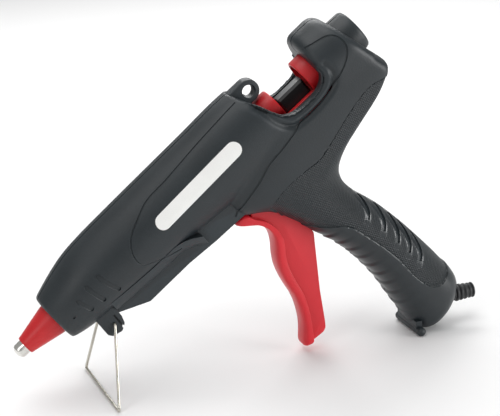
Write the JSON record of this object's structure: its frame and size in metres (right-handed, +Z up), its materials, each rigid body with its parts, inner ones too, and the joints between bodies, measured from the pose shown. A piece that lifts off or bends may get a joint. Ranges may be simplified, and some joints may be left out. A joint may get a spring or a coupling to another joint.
{
  "type": "hot glue gun",
  "caption": "Trigger-fed hot glue gun with a sloping round barrel, ribbed grip, open feed bay, folding wire stand and corded heel.",
  "frame": {"origin": "bottom centre of the bounding box, on the table that the wire stand and the grip foot rest on", "axes": "-X towards the nozzle, +X towards the cord, Y across the gun with the left half at -Y, +Z up; the barrel slopes 36.5 degrees, nose down"},
  "size_m": [0.283, 0.0698, 0.1982],
  "materials": {
    "housing": "fine-grained moulded nylon",
    "guide": "moulded black plastic",
    "screws": "zinc plated",
    "tip_metal": "turned aluminium",
    "spring_steel": "drawn spring wire",
    "sleeve_red": "moulded red silicone",
    "chamber_metal": "cast aluminium",
    "mount_ring": "heat-resistant moulding",
    "ceramic": "unglazed ceramic",
    "inlet_rubber": "moulded silicone",
    "carriage_red": "moulded red plastic",
    "trigger_red": "satin moulded red plastic",
    "gripper": "toughened moulded plastic",
    "stand_wire": "nickel plated wire",
    "relief_rubber": "moulded black rubber",
    "white_plastic": "white moulded plastic and pad print",
    "lead_brown": "insulation",
    "lead_blue": "insulation"
  },
  "bodies": {
    "gun": {"housing_left": "housing", "housing_right": "housing", "housing_screws": "screws", "nozzle_tip": "tip_metal", "nozzle_ball": "spring_steel", "nozzle_spring": "spring_steel", "nozzle_sleeve": "sleeve_red", "melt_chamber": "chamber_metal", "front_mount_ring": "mount_ring", "rear_mount_ring": "mount_ring", "heater_core": "ceramic", "heater_clamp": "spring_steel", "thermal_fuse": "ceramic", "inlet_sleeve": "inlet_rubber", "sleeve_clip": "spring_steel", "stick_guide": "guide", "trigger_pin": "screws", "return_spring": "spring_steel", "grip_foot": "housing", "strain_relief": "relief_rubber", "cable_clamp": "guide", "clamp_screws": "screws", "terminal_block": "white_plastic", "live_lead": "lead_brown", "neutral_lead": "lead_blue"},
    "trigger": {"trigger": "trigger_red"},
    "carriage": {"feed_carriage": "carriage_red", "drive_pin": "screws", "gripper_spring": "spring_steel"},
    "gripper": {"stick_gripper": "gripper"},
    "stand": {"wire_stand": "stand_wire"}
  },
  "joints": [
    {"name": "trigger_squeeze", "type": "hinge", "parent": "gun", "child": "trigger", "pos_m": [0.00557, 0, 0.10096], "axis": [0, -1, 0], "range_deg": [0, 20], "stiffness_Nm_per_rad": 0.6, "springref_deg": -17.19},
    {"name": "carriage_feed", "type": "slide", "parent": "gun", "child": "carriage", "axis": [-0.8039, 0, -0.5948], "range_m": [0, 0.00723], "deforming": ["return_spring"]},
    {"name": "gripper_press", "type": "slide", "parent": "carriage", "child": "gripper", "axis": [0.5948, 0, -0.8039], "range_m": [0, 0.0082], "stiffness_N_per_m": 400, "springref_m": -0.004, "deforming": ["gripper_spring"]},
    {"name": "stand_fold", "type": "hinge", "parent": "gun", "child": "stand", "pos_m": [-0.08632, 0, 0.04441], "axis": [0, -1, 0], "range_deg": [0, 120]}
  ],
  "couplings": [
    {"joint": "carriage_feed", "follows": "trigger_squeeze", "m_per_rad": 0.0207}
  ]
}
